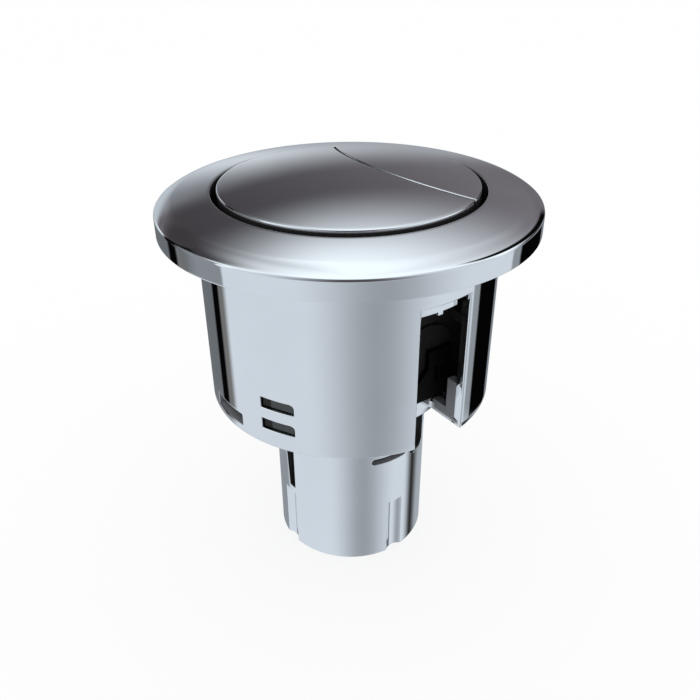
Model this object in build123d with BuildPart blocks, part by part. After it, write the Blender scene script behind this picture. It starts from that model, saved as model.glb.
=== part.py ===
from build123d import *
from math import cos, degrees, radians, sin, sqrt
import os

os.makedirs("parts", exist_ok=True)

# Dual-flush push button for a cistern lid, in millimetres.
# The origin is on the axis, in the plane of the lid's top face. +Z points up through the
# buttons, +X out of the side notch and +Y to the half-flush button.

# Housing: the cup that drops through the hole in the lid
housing_radius = 29.3
housing_wall = 1.8
housing_depth = 36.0
floor_thickness = 1.7
housing_edge_round = 0.3
well_wall = 1.8
well_height = 5.0
boss_space = 6.4

# Side notch in the housing, open at the bottom
notch_width = 12.2
notch_top = -6.6
lip_wall = 1.2
lip_height = 2.7
gusset_length = 2.5
gusset_height = 9.5

# Snap windows and drain slots in the housing wall
window_angle = -63.0
window_width = 7.0
window_height = 2.3
upper_window_rise = 9.5
lower_window_rise = 4.8
window_corner_round = 0.8
drain_angle = -90.0
drain_width = 9.6
drain_height = 2.5

# Bezel: the domed flange that lies on the lid
flange_overhang = 7.2
rim_height = 3.78
rim_edge_round = 0.7
throat_height = 6.45
crown_width = 3.5
band_drop = 1.07
band_sagitta = 0.045
rim_wall = 1.5
groove_land = 1.0
groove_depth = 2.0
sleeve_wall = 1.2
sleeve_depth = 9.1
slit_count = 8
slit_start_angle = 10.0
slit_width = 1.2
slit_depth = 4.0
key_width = 1.4
key_drop = 0.9

# Buttons: one round dome split along an arc
button_edge_height = 7.07
button_crest_height = 8.8
button_edge_round = 0.4
button_corner_round = 0.5
split_setback = 4.5
split_radius = 42.0
cap_wall = 1.5
cap_thickness = 1.6
skirt_bottom = -1.0
button_travel = 5.0

# Sliders under the buttons
plate_thickness = 1.6
plate_inset = 0.3
rib_wall = 1.2
rib_height = 2.5
post_radius = 3.2
post_length = 21.5
blade_width = 4.0
blade_thickness = 1.4
blade_length = 16.5
blade_hub_gap = 2.9
full_blade_angle = -14.7
half_blade_angle = 46.0

# Guide inside the housing and the bell-shaped hub under its deck
deck_thickness = 2.0
ring_wall = 1.6
hub_wall = 1.6
bell_height = 6.0
bell_flare = 2.4
bell_foot_height = 1.5
boss_angle = 38.0
tongue_thickness = 1.4
tongue_width = 7.6
tongue_floor_gap = 1.3
barb_reach = 1.7

# Cover behind the notch, with a round-topped pad and a block that has two slots
cover_wall = 1.2
cover_pad_radius = 6.6
cover_pad_offset = 2.4
cover_pad_thickness = 0.6
block_start = 2.0
block_end = 7.6
block_height = 10.6
block_thickness = 1.7
block_foot_reach = 2.8
block_foot_height = 4.0
block_foot_rise = 2.8
block_slot_width = 0.9
block_slot_height = 3.2
block_slot_pitch = 1.4
block_slot_depth = 0.9

# Stop pads, springs and retaining clips
pad_radius = 2.0
pad_height = 5.1
full_pad_angle = -58.0
half_pad_angle = 72.5
spring_radius = 4.0
spring_wire = 0.7
spring_turns = 5
clip_radius = 4.4
clip_thickness = 0.8
clip_groove_depth = 0.6
clip_mouth = 4.2

# Push rods and their feet
rod_radius = 2.0
rod_seat_depth = 14.0
rod_web = 1.2
foot_radius = 2.8
foot_height = 4.0
foot_base = 1.5

# Stem: the tube that takes the neck of the flush valve
stem_flange_width = 2.5
stem_wall = 1.8
stem_length = 38.6
stem_flange_thickness = 1.6
socket_wall = 1.9
socket_depth = 14.2
ledge_width = 1.2
ledge_thickness = 1.5
keyway_count = 4
keyway_radius = 2.95
keyway_depth = 0.9
tall_slot_angle = -90.0
tall_slot_width = 3.3
tall_slot_foot_width = 1.8
tall_slot_height = 20.0
slit_slot_angle = -5.0
slit_slot_length = 8.6
slit_slot_height = 1.5
slit_slot_drop = 12.1
port_slit_gap = 1.48
port_width = 6.3
port_height = 9.4
port_drop = 5.0
port_corner_round = 1.5
washer_thickness = 1.0

# Floor screws
screw_radius = 1.25
screw_length = 9.5
screw_tip = 0.8
screw_head_radius = 2.7
screw_head_height = 1.7
screw_head_round = 0.6
recess_length = 3.0
recess_width = 0.7
recess_depth = 1.0

# Clearances
sleeve_clearance = 0.3
button_gap = 1.2
split_gap = 0.6
sliding_clearance = 0.3
seat_clearance = 0.15
screw_clearance = 0.05
floor_hole_clearance = 0.4
boss_clearance = 0.6
rod_clearance = 0.6
barb_clearance = 0.3
cut_margin = 1.0

# Radii that follow from the housing's outside, first outwards and then inwards
flange_radius = housing_radius + flange_overhang
housing_bore = housing_radius - housing_wall
sleeve_radius = housing_bore - sleeve_clearance
throat_radius = sleeve_radius - sleeve_wall
sleeve_mid_radius = sleeve_radius - sleeve_wall / 2
button_radius = throat_radius - button_gap
groove_inner_radius = housing_radius + groove_land
groove_outer_radius = flange_radius - rim_wall
crown_radius = flange_radius - crown_width
ring_bore = sleeve_radius - ring_wall

# Radii of the well, the hub and the stem, inwards from the ring of screw bosses
boss_radius = boss_space / 2 - boss_clearance
boss_circle = housing_bore - boss_space / 2
well_radius = housing_bore - boss_space
well_bore = well_radius - well_wall
pocket_start = well_radius + sliding_clearance
bell_radius = well_bore - sliding_clearance
hub_radius = bell_radius - bell_flare
hub_bore = hub_radius - hub_wall
stem_flange_radius = bell_radius
stem_radius = stem_flange_radius - stem_flange_width
floor_bore = stem_radius + sliding_clearance
stem_bore = stem_radius - stem_wall
socket_radius = stem_radius - socket_wall
ledge_radius = socket_radius - ledge_width
support_circle = hub_radius + blade_hub_gap
notch_half = notch_width / 2
tongue_face = sqrt((housing_bore - sleeve_clearance) ** 2 - (tongue_width / 2) ** 2)

# Levels, from the lid downwards
housing_bottom = -housing_depth
floor_top = housing_bottom + floor_thickness
upper_window = housing_bottom + upper_window_rise
lower_window = housing_bottom + lower_window_rise
plate_bottom = skirt_bottom - plate_thickness
pad_top = plate_bottom - button_travel - sliding_clearance
deck_top = pad_top - pad_height
deck_bottom = deck_top - deck_thickness
clip_top = deck_bottom - sliding_clearance
post_bottom = plate_bottom - post_length
stem_top = floor_top + stem_flange_thickness
hub_bottom = stem_top + washer_thickness
cover_bottom = housing_bottom + well_height
cover_pad_level = deck_bottom - sliding_clearance - cover_pad_radius
block_top = cover_bottom + block_height
stem_bottom = housing_bottom - stem_length
ledge_bottom = stem_bottom + socket_depth
ledge_top = ledge_bottom + ledge_thickness
foot_bottom = ledge_top + button_travel + sliding_clearance
rod_bottom = foot_bottom + foot_base

# Places shared by several pieces
boss_x = boss_circle * cos(radians(boss_angle))
boss_y = boss_circle * sin(radians(boss_angle))
boss_places = [(boss_x, boss_y), (-boss_x, boss_y), (-boss_x, -boss_y), (boss_x, -boss_y)]
cover_half = boss_y - boss_radius - boss_clearance
port_arc = slit_slot_length / 2 + port_slit_gap + port_width / 2
port_angle = slit_slot_angle + degrees(port_arc / stem_radius)
post_offset = ledge_radius - foot_radius - rod_clearance
post_places = [(0, -post_offset), (0, post_offset)]
split_offset = post_offset - split_setback
split_centre = split_offset + split_radius


def mirrored_pair(angle):
    """Two places on the support circle, one at an angle from +X and one across the YZ plane."""
    x = support_circle * cos(radians(angle))
    y = support_circle * sin(radians(angle))
    return [(x, y), (-x, y)]


full_blade_places = mirrored_pair(full_blade_angle)
half_blade_places = mirrored_pair(half_blade_angle)
full_pad_places = mirrored_pair(full_pad_angle)
half_pad_places = mirrored_pair(half_pad_angle)


def wall_plane(angle, radius):
    """Plane facing outwards at an angle about Z, with its x along the wall and its y up."""
    outward = (cos(radians(angle)), sin(radians(angle)), 0)
    along = (-sin(radians(angle)), cos(radians(angle)), 0)
    return Plane(origin=(radius * outward[0], radius * outward[1], 0), x_dir=along, z_dir=outward)


# Bezel: flange, gasket groove and the slit sleeve that plugs into the housing
with BuildPart() as bezel:
    with BuildSketch(Plane.XZ) as bezel_profile:
        with BuildLine():
            band = SagittaArc(
                (throat_radius, throat_height),
                (crown_radius, throat_height - band_drop),
                band_sagitta,
            )
            TangentArc(band @ 1, (flange_radius, rim_height), tangent=band % 1)
            Polyline(
                (flange_radius, rim_height),
                (flange_radius, 0),
                (groove_outer_radius, 0),
                (groove_outer_radius, groove_depth),
                (groove_inner_radius, groove_depth),
                (groove_inner_radius, 0),
                (sleeve_radius, 0),
                (sleeve_radius, -sleeve_depth),
                (throat_radius, -sleeve_depth),
                (throat_radius, throat_height),
            )
        make_face()
        rim_corner = bezel_profile.vertices().group_by(Axis.X)[-1].sort_by(Axis.Y)[-1]
        fillet(rim_corner, rim_edge_round)
    revolve(axis=Axis.Z)
    with BuildSketch(Plane.XY.offset(-sleeve_depth)):
        with PolarLocations(sleeve_mid_radius, slit_count, start_angle=slit_start_angle):
            Rectangle(sleeve_wall + 2 * sleeve_clearance, slit_width)
    extrude(amount=slit_depth, mode=Mode.SUBTRACT)
    with BuildSketch(Plane.XY.offset(-sleeve_depth)):
        with Locations((sleeve_mid_radius, 0)):
            Rectangle(sleeve_wall, key_width)
    extrude(amount=-key_drop)
bezel.part.label = "bezel"
export_step(bezel.part, "parts/bezel.step")


# Gasket: foam ring in the groove, flush with the underside of the flange
with BuildPart() as flange_gasket:
    with BuildSketch():
        Circle(groove_outer_radius - seat_clearance)
        Circle(groove_inner_radius + seat_clearance, mode=Mode.SUBTRACT)
    extrude(amount=groove_depth)
flange_gasket.part.label = "flange_gasket"
export_step(flange_gasket.part, "parts/flange_gasket.step")


# Notch cutter: a straight slot from the well to the outside of the housing
with BuildPart() as notch_cutter:
    with BuildSketch(Plane.XY.offset(housing_bottom)):
        with Locations((housing_radius, 0)):
            Rectangle(2 * (housing_radius - ledge_radius), notch_width)
        Circle(well_radius, mode=Mode.SUBTRACT)
    extrude(amount=notch_top - housing_bottom)


# Lip cutter: what the lips beside the notch may fill, between the well and the wall
with BuildPart() as lip_space:
    with BuildSketch(Plane.XY.offset(housing_bottom)):
        Circle(housing_radius - housing_wall / 2)
        Circle(well_radius - well_wall / 2, mode=Mode.SUBTRACT)
    extrude(amount=gusset_height)


# Lips: low walls along both sides of the notch, with a taller gusset at the housing wall
gusset_start = sqrt(housing_bore**2 - notch_half**2) - gusset_length
with BuildPart() as notch_lips:
    with BuildSketch(Plane.XY.offset(housing_bottom)):
        for side in (-1, 1):
            with Locations((housing_radius / 2, side * (notch_half + lip_wall / 2))):
                Rectangle(housing_radius, lip_wall)
    extrude(amount=lip_height)
    with BuildSketch(Plane.XY.offset(housing_bottom)):
        for side in (-1, 1):
            with Locations((gusset_start, side * (notch_half + lip_wall / 2))):
                Rectangle(housing_radius - gusset_start, lip_wall, align=(Align.MIN, Align.CENTER))
    extrude(amount=gusset_height)
    add(lip_space.part, mode=Mode.INTERSECT)


# Housing: cup with a floor, a well around the stem, the notch, windows and drain slots
with BuildPart() as housing:
    with BuildSketch(Plane.XZ):
        with BuildLine():
            Polyline(
                (housing_bore, 0),
                (housing_radius, 0),
                (housing_radius, housing_bottom),
                (floor_bore, housing_bottom),
                (floor_bore, floor_top),
                (well_bore, floor_top),
                (well_bore, housing_bottom + well_height),
                (well_radius, housing_bottom + well_height),
                (well_radius, floor_top),
                (housing_bore, floor_top),
                close=True,
            )
        make_face()
    revolve(axis=Axis.Z)
    bottom_edges = housing.edges().filter_by(GeomType.CIRCLE).group_by(Axis.Z)[0]
    fillet(bottom_edges.sort_by(SortBy.RADIUS)[-1], housing_edge_round)
    add(notch_cutter.part, mode=Mode.SUBTRACT)
    add(notch_lips.part)
    for angle in (window_angle, window_angle + 180):
        for level in (upper_window, lower_window):
            with BuildSketch(wall_plane(angle, housing_bore - cut_margin)) as window:
                with Locations((0, level)):
                    Rectangle(window_width, window_height)
                far_corner = window.vertices().group_by(Axis.X)[-1].sort_by(Axis.Y)[-1]
                fillet(far_corner, window_corner_round)
            extrude(amount=housing_wall + 2 * cut_margin, mode=Mode.SUBTRACT)
    for angle in (drain_angle, drain_angle + 180):
        with BuildSketch(wall_plane(angle, housing_bore - cut_margin)):
            with Locations((0, floor_top)):
                Rectangle(drain_width, drain_height, align=(Align.CENTER, Align.MIN))
        extrude(amount=housing_wall + 2 * cut_margin, mode=Mode.SUBTRACT)
    with BuildSketch(Plane.XY.offset(housing_bottom)):
        with Locations(*boss_places):
            Circle(screw_radius + floor_hole_clearance)
    extrude(amount=floor_thickness, mode=Mode.SUBTRACT)
housing.part.label = "housing"
export_step(housing.part, "parts/housing.step")


# Stem: flanged tube with a stepped bore, four round keyways and flexing slots below the housing
with BuildPart() as stem:
    with BuildSketch(Plane.XZ):
        with BuildLine():
            Polyline(
                (socket_radius, stem_bottom),
                (stem_radius, stem_bottom),
                (stem_radius, floor_top),
                (stem_flange_radius, floor_top),
                (stem_flange_radius, stem_top),
                (stem_bore, stem_top),
                (stem_bore, ledge_top),
                (ledge_radius, ledge_top),
                (ledge_radius, ledge_bottom),
                (socket_radius, ledge_bottom),
                close=True,
            )
        make_face()
    revolve(axis=Axis.Z)
    with BuildSketch(Plane.XY.offset(stem_bottom)):
        with PolarLocations(stem_radius - keyway_depth + keyway_radius, keyway_count):
            Circle(keyway_radius)
    extrude(amount=socket_depth, mode=Mode.SUBTRACT)
    for angle in (tall_slot_angle, tall_slot_angle + 180):
        with BuildSketch(wall_plane(angle, ledge_radius - cut_margin)):
            with BuildLine():
                Polyline(
                    (tall_slot_width / 2, ledge_top),
                    (tall_slot_width / 2, ledge_top + tall_slot_height),
                    (-tall_slot_width / 2, ledge_top + tall_slot_height),
                    (tall_slot_width / 2 - tall_slot_foot_width, ledge_top),
                    close=True,
                )
            make_face()
        extrude(amount=stem_wall + ledge_width + 2 * cut_margin, mode=Mode.SUBTRACT)
    for angle in (slit_slot_angle, slit_slot_angle + 180):
        with BuildSketch(wall_plane(angle, ledge_radius - cut_margin)):
            with Locations((0, housing_bottom - slit_slot_drop)):
                SlotOverall(slit_slot_length, slit_slot_height)
        extrude(amount=stem_wall + ledge_width + 2 * cut_margin, mode=Mode.SUBTRACT)
    for angle in (port_angle, port_angle + 180):
        with BuildSketch(wall_plane(angle, ledge_radius - cut_margin)):
            with Locations((0, housing_bottom - port_drop)):
                RectangleRounded(
                    port_width,
                    port_height,
                    port_corner_round,
                    align=(Align.CENTER, Align.MAX),
                )
        extrude(amount=stem_wall + ledge_width + 2 * cut_margin, mode=Mode.SUBTRACT)
stem.part.label = "stem"
export_step(stem.part, "parts/stem.step")


# Washer: rubber ring that the hub presses onto the stem's flange
with BuildPart() as stem_washer:
    with BuildSketch(Plane.XY.offset(stem_top)):
        Circle(stem_flange_radius)
        Circle(hub_bore, mode=Mode.SUBTRACT)
    extrude(amount=washer_thickness)
stem_washer.part.label = "stem_washer"
export_step(stem_washer.part, "parts/stem_washer.step")


# Hub: bell-shaped tube around the rods, clamped between the guide's deck and the washer
with BuildPart() as guide_hub:
    with BuildSketch(Plane.XZ):
        with BuildLine():
            Polyline(
                (hub_radius, deck_bottom),
                (hub_radius, hub_bottom + bell_height),
                (bell_radius, hub_bottom + bell_foot_height),
                (bell_radius, hub_bottom),
                (hub_bore, hub_bottom),
                (hub_bore, deck_bottom),
                close=True,
            )
        make_face()
    revolve(axis=Axis.Z)
guide_hub.part.label = "guide_hub"
export_step(guide_hub.part, "parts/guide_hub.step")


# Guide: ring under the sleeve, deck with the slider bores, screw bosses and snap tongues
with BuildPart() as button_guide:
    with BuildSketch(Plane.XZ):
        with BuildLine():
            Polyline(
                (0, deck_top),
                (ring_bore, deck_top),
                (ring_bore, -sleeve_depth),
                (sleeve_radius, -sleeve_depth),
                (sleeve_radius, deck_bottom),
                (0, deck_bottom),
                close=True,
            )
        make_face()
    revolve(axis=Axis.Z)
    with BuildSketch(Plane.XY.offset(floor_top)):
        with Locations(*boss_places):
            Circle(boss_radius)
    extrude(amount=deck_bottom - floor_top)
    with BuildSketch(Plane.XY.offset(floor_top)):
        with Locations(*boss_places):
            Circle(screw_radius + screw_clearance)
    extrude(amount=screw_length - floor_thickness + screw_clearance, mode=Mode.SUBTRACT)
    for angle in (window_angle, window_angle + 180):
        with BuildSketch(wall_plane(angle, tongue_face)):
            with Locations((0, deck_bottom)):
                Rectangle(
                    tongue_width,
                    deck_bottom - floor_top - tongue_floor_gap,
                    align=(Align.CENTER, Align.MAX),
                )
        extrude(amount=-tongue_thickness)
        with BuildSketch(wall_plane(angle, tongue_face)):
            with Locations((0, upper_window), (0, lower_window)):
                Rectangle(window_width - 2 * barb_clearance, window_height - 2 * barb_clearance)
        extrude(amount=barb_reach)
    with BuildSketch(Plane.XY.offset(floor_top)):
        with Locations((pocket_start, 0)):
            Rectangle(
                housing_radius - pocket_start,
                notch_width + 2 * (lip_wall + sliding_clearance),
                align=(Align.MIN, Align.CENTER),
            )
    extrude(amount=-sleeve_depth - floor_top, mode=Mode.SUBTRACT)
    with BuildSketch(Plane.XY.offset(deck_bottom)):
        with Locations(*post_places):
            Circle(post_radius + sliding_clearance)
        with Locations(*full_blade_places, *half_blade_places):
            Rectangle(blade_thickness + 2 * sliding_clearance, blade_width + 2 * sliding_clearance)
    extrude(amount=deck_thickness, mode=Mode.SUBTRACT)
button_guide.part.label = "button_guide"
export_step(button_guide.part, "parts/button_guide.step")


# Cover: black plate that shuts the notch off from the moving parts, held between deck and well
with BuildPart() as notch_cover:
    with BuildSketch(Plane.XY.offset(cover_bottom)):
        with Locations((well_radius, 0)):
            Rectangle(cover_wall, 2 * cover_half, align=(Align.MAX, Align.CENTER))
    extrude(amount=deck_bottom - cover_bottom)
    with BuildSketch(wall_plane(0, well_radius)):
        with Locations((cover_pad_offset, cover_pad_level)):
            Circle(cover_pad_radius)
            Rectangle(
                2 * cover_pad_radius,
                cover_pad_level - cover_bottom,
                align=(Align.CENTER, Align.MAX),
            )
    extrude(amount=cover_pad_thickness)
    with BuildSketch(wall_plane(0, well_radius)):
        with BuildLine():
            Polyline(
                (block_start, block_top),
                (block_end, block_top),
                (block_end, cover_bottom),
                (block_start - block_foot_reach, cover_bottom),
                (block_start - block_foot_reach, cover_bottom + block_foot_height),
                (block_start, cover_bottom + block_foot_height + block_foot_rise),
                close=True,
            )
        make_face()
    extrude(amount=block_thickness)
    with BuildSketch(wall_plane(0, well_radius + block_thickness)):
        with Locations(((block_start + block_end) / 2, (block_top + cover_bottom) / 2)):
            with GridLocations(block_slot_pitch, 0, 2, 1):
                Rectangle(block_slot_width, block_slot_height)
    extrude(amount=-block_slot_depth, mode=Mode.SUBTRACT)
notch_cover.part.label = "notch_cover"
export_step(notch_cover.part, "parts/notch_cover.step")


# Screws: four self-tapping screws through the floor into the guide's bosses
with BuildPart() as floor_screws:
    with BuildSketch(Plane.XY.offset(housing_bottom)):
        with Locations(*boss_places):
            Circle(screw_head_radius)
    extrude(amount=-screw_head_height)
    fillet(floor_screws.edges().group_by(Axis.Z)[0], screw_head_round)
    with BuildSketch(Plane.XY.offset(housing_bottom)):
        with Locations(*boss_places):
            Circle(screw_radius)
    extrude(amount=screw_length)
    chamfer(floor_screws.edges().group_by(Axis.Z)[-1], screw_tip)
    with BuildSketch(Plane.XY.offset(housing_bottom - screw_head_height)):
        with Locations(*boss_places):
            Rectangle(recess_length, recess_width)
            Rectangle(recess_width, recess_length)
    extrude(amount=recess_depth, mode=Mode.SUBTRACT)
floor_screws.part.label = "floor_screws"
export_step(floor_screws.part, "parts/floor_screws.step")


# Stop pads: rubber studs on the deck that the sliders land on
with BuildPart() as stop_pads:
    with BuildSketch(Plane.XY.offset(deck_top)):
        with Locations(*full_pad_places, *half_pad_places):
            Circle(pad_radius)
    extrude(amount=pad_height)
stop_pads.part.label = "stop_pads"
export_step(stop_pads.part, "parts/stop_pads.step")


# Outlines of the two buttons in plan: the crescent and the lens left by the split arc
with BuildSketch() as full_outline:
    Circle(button_radius)
    with Locations((0, split_centre)):
        Circle(split_radius + split_gap / 2, mode=Mode.SUBTRACT)
    full_corners = full_outline.vertices().filter_by_position(Axis.Y, split_offset, button_radius)
    fillet(full_corners, button_corner_round)

with BuildSketch() as half_outline:
    Circle(button_radius)
    with Locations((0, split_centre)):
        Circle(split_radius - split_gap / 2, mode=Mode.INTERSECT)
    half_corners = half_outline.vertices().filter_by_position(Axis.Y, split_offset, button_radius)
    fillet(half_corners, button_corner_round)


# Dome over both buttons: a sphere through the crest and the round edge
crest_rise = button_crest_height - button_edge_height
dome_radius = (button_radius**2 + crest_rise**2) / (2 * crest_rise)
dome_centre = button_crest_height - dome_radius


# Each flush side: cap, slider, spring, clip, rod and foot, the full side at -Y and the half at +Y
flush_sides = (
    ("full_flush", -1, full_outline, full_blade_places),
    ("half_flush", 1, half_outline, half_blade_places),
)
for name, side, outline, blade_places in flush_sides:
    post_y = side * post_offset

    with BuildPart() as cap_core:
        with BuildSketch(Plane.XY.offset(skirt_bottom)):
            add(outline.sketch)
            offset(amount=-cap_wall, mode=Mode.REPLACE)
        extrude(amount=button_crest_height - skirt_bottom)
        with Locations((0, 0, dome_centre)):
            Sphere(dome_radius - cap_thickness, mode=Mode.INTERSECT)

    with BuildPart() as button:
        with BuildSketch(Plane.XY.offset(skirt_bottom)):
            add(outline.sketch)
        extrude(amount=button_crest_height - skirt_bottom)
        with Locations((0, 0, dome_centre)):
            Sphere(dome_radius, mode=Mode.INTERSECT)
        fillet(button.faces().sort_by(Axis.Z)[-1].edges(), button_edge_round)
        add(cap_core.part, mode=Mode.SUBTRACT)
    button.part.label = f"{name}_button"
    export_step(button.part, f"parts/{name}_button.step")

    with BuildPart() as slider:
        with BuildSketch(Plane.XY.offset(plate_bottom)):
            add(outline.sketch)
            offset(amount=-plate_inset, mode=Mode.REPLACE)
        extrude(amount=plate_thickness)
        with BuildSketch(Plane.XY.offset(skirt_bottom)):
            add(outline.sketch)
            offset(amount=-cap_wall - seat_clearance, mode=Mode.REPLACE)
            offset(amount=-rib_wall, mode=Mode.SUBTRACT)
        extrude(amount=rib_height)
        with BuildSketch(Plane.XY.offset(post_bottom)):
            with Locations((0, post_y)):
                Circle(post_radius)
        extrude(amount=post_length)
        with BuildSketch(Plane.XY.offset(plate_bottom)):
            with Locations(*blade_places):
                Rectangle(blade_thickness, blade_width)
        extrude(amount=-blade_length)
        with BuildSketch(Plane.XY.offset(post_bottom)):
            with Locations((0, post_y)):
                Circle(rod_radius + screw_clearance)
        extrude(amount=rod_seat_depth, mode=Mode.SUBTRACT)
        with BuildSketch(Plane.XY.offset(clip_top + screw_clearance)):
            with Locations((0, post_y)):
                Circle(post_radius + cut_margin)
                Circle(post_radius - clip_groove_depth, mode=Mode.SUBTRACT)
        extrude(amount=-clip_thickness - 2 * screw_clearance, mode=Mode.SUBTRACT)
    slider.part.label = f"{name}_slider"
    export_step(slider.part, f"parts/{name}_slider.step")

    with BuildPart() as spring:
        with BuildLine() as coil:
            Helix(
                pitch=(plate_bottom - deck_top - spring_wire - 2 * screw_clearance) / spring_turns,
                height=plate_bottom - deck_top - spring_wire - 2 * screw_clearance,
                radius=spring_radius,
                center=(0, post_y, deck_top + spring_wire / 2 + screw_clearance),
            )
        with BuildSketch(Plane(origin=coil.line @ 0, z_dir=coil.line % 0)):
            Circle(spring_wire / 2)
        sweep()
    spring.part.label = f"{name}_spring"
    export_step(spring.part, f"parts/{name}_spring.step")

    with BuildPart() as clip:
        with BuildSketch(Plane.XY.offset(clip_top)):
            with Locations((0, post_y)):
                Circle(clip_radius)
                Circle(post_radius - clip_groove_depth + screw_clearance, mode=Mode.SUBTRACT)
            with Locations((0, post_y)):
                Rectangle(clip_radius, clip_mouth, align=(Align.MIN, Align.CENTER), mode=Mode.SUBTRACT)
        extrude(amount=-clip_thickness)
    clip.part.label = f"{name}_clip"
    export_step(clip.part, f"parts/{name}_clip.step")

    with BuildPart() as rod:
        with BuildSketch(Plane.XY.offset(post_bottom)):
            with Locations((0, post_y)):
                Circle(rod_radius)
        extrude(amount=rod_seat_depth)
        with BuildSketch(Plane.XY.offset(rod_bottom + foot_height - foot_base)):
            with Locations((0, post_y)):
                Rectangle(2 * rod_radius, rod_web)
                Rectangle(rod_web, 2 * rod_radius)
        extrude(amount=post_bottom - rod_bottom - foot_height + foot_base)
        with BuildSketch(Plane.XY.offset(rod_bottom)):
            with Locations((0, post_y)):
                Circle(rod_radius)
        extrude(amount=foot_height - foot_base)
    rod.part.label = f"{name}_rod"
    export_step(rod.part, f"parts/{name}_rod.step")

    with BuildPart() as foot:
        with BuildSketch(Plane.XY.offset(foot_bottom)):
            with Locations((0, post_y)):
                Circle(foot_radius)
        extrude(amount=foot_height)
        with BuildSketch(Plane.XY.offset(rod_bottom)):
            with Locations((0, post_y)):
                Circle(rod_radius + screw_clearance)
        extrude(amount=foot_height - foot_base, mode=Mode.SUBTRACT)
    foot.part.label = f"{name}_rod_foot"
    export_step(foot.part, f"parts/{name}_rod_foot.step")
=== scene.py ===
from math import pi, radians

import bpy
import numpy as np
from mathutils import Matrix


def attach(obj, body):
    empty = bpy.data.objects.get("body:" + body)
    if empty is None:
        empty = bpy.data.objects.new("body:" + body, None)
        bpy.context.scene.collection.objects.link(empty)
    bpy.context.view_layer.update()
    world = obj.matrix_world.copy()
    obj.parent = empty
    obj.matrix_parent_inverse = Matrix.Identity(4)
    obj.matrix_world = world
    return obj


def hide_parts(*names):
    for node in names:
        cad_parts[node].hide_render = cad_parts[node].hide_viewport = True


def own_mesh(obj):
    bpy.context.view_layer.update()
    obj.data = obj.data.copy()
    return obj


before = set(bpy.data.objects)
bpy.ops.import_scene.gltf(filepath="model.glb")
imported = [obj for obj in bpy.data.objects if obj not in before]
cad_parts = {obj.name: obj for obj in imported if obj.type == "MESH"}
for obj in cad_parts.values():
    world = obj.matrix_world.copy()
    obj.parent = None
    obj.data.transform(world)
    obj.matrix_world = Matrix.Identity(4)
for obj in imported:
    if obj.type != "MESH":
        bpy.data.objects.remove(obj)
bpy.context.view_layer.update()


# Housing: the cup that hangs through the hole in the cistern lid. It is moulded in ABS and
# chrome plated all over. Notch, snap windows and drain slots come straight from the mould,
# and two low lips stiffen the notch where it opens at the bottom. The floor inside, the drain
# slots and the lips are painted a dull grey. This is partly thinner plating and partly painted
# shade in these recesses.
mm = 0.001
housing_radius = 29.3
housing_bore = 27.5
housing_bottom = -36.0
housing_edge_round = 0.3
floor_top = -34.3
floor_bore = 16.8
well_bore = 19.3
well_radius = 21.1
well_top = -31.0
notch_half = 5.6
notch_top = -6.6
lip_outside = 7.3
lip_top = -33.3
lip_edge_round = 0.15
# The lips' share of plating. Under 1 it paints them a dull grey, as shade low in the notch.
lip_plating_and_shade = 0.6
gusset_start = 24.3
gusset_top = -26.5
window_turn = 63
window_width = 7.0
window_round = 0.8
window_spans = ((-32.35, -30.05), (-27.65, -25.35))
drain_width = 9.6
drain_top = -31.8
drain_round = 0.1
hole_round = 0.25
jamb_round = 0.5
jamb_run_in = 0.8
jamb_run_out = 1.5
notch_margin = 1.0
hole_margin = 0.4
# Share of plating on the drains and the floor inside. This paints a dull grey, partly thinner plating and
# partly painted shade.
grey_plating_and_shade = 0.5
wall_columns = 480


def edge_run(angle, levels, west, east, spans=(), least_radius=0):
    """Edges of a hole at an angle in a round wall: at each level, their distances from its middle.

    The wall is open over the spans of height. Inside the least radius the hole gets no wider.
    """
    return {
        "angle": angle,
        "levels": np.array(levels),
        "west": np.array(west),
        "east": np.array(east),
        "spans": list(spans),
        "least_radius": least_radius,
    }


def opening(angle, width, bottom, top, west_rounds=(0, 0), east_rounds=(0, 0), least_radius=0):
    """The edges of an upright hole with rounded corners.

    An edge stands half the width out, less what its rounded corners take. A corner of radius r
    takes r - sqrt(r^2 - (r - h)^2) at a height h from the end of the hole.
    """
    turn = np.linspace(0, pi / 2, 6)
    low = bottom + np.outer([west_rounds[0], east_rounds[0]], 1 - np.cos(turn))
    high = top - np.outer([west_rounds[1], east_rounds[1]], 1 - np.cos(turn))
    levels = np.unique(np.round(np.concatenate([low.ravel(), high.ravel()]), 4))

    def reach(rounds):
        into = np.clip([rounds[0] - (levels - bottom), rounds[1] - (top - levels)], 0, None)
        radius = np.array(rounds, float)[:, None]
        taken = radius - np.sqrt(np.clip(radius**2 - into**2, 0, None))
        return width / 2 - taken.sum(axis=0)

    return edge_run(angle, levels, -reach(west_rounds), reach(east_rounds), [(bottom, top)], least_radius)


def above_each_other(lower, upper):
    """Two holes at one angle as a single run of edges, so that they share their columns."""
    both = dict(lower)
    for key in ("levels", "west", "east"):
        both[key] = np.concatenate([lower[key], upper[key]])
    both["spans"] = lower["spans"] + upper["spans"]
    return both


def collar(hole, margin):
    """The frame of a hole: its edges moved out by a margin with nothing cut, and the rows it needs.

    It carries the wall's own curve up to the hole, so that only the edge itself is rounded.
    """
    rows = np.ravel([(bottom - margin, top + margin) for bottom, top in hole["spans"]])
    return {**hole, "west": hole["west"] - margin, "east": hole["east"] + margin, "spans": []}, rows


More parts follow.
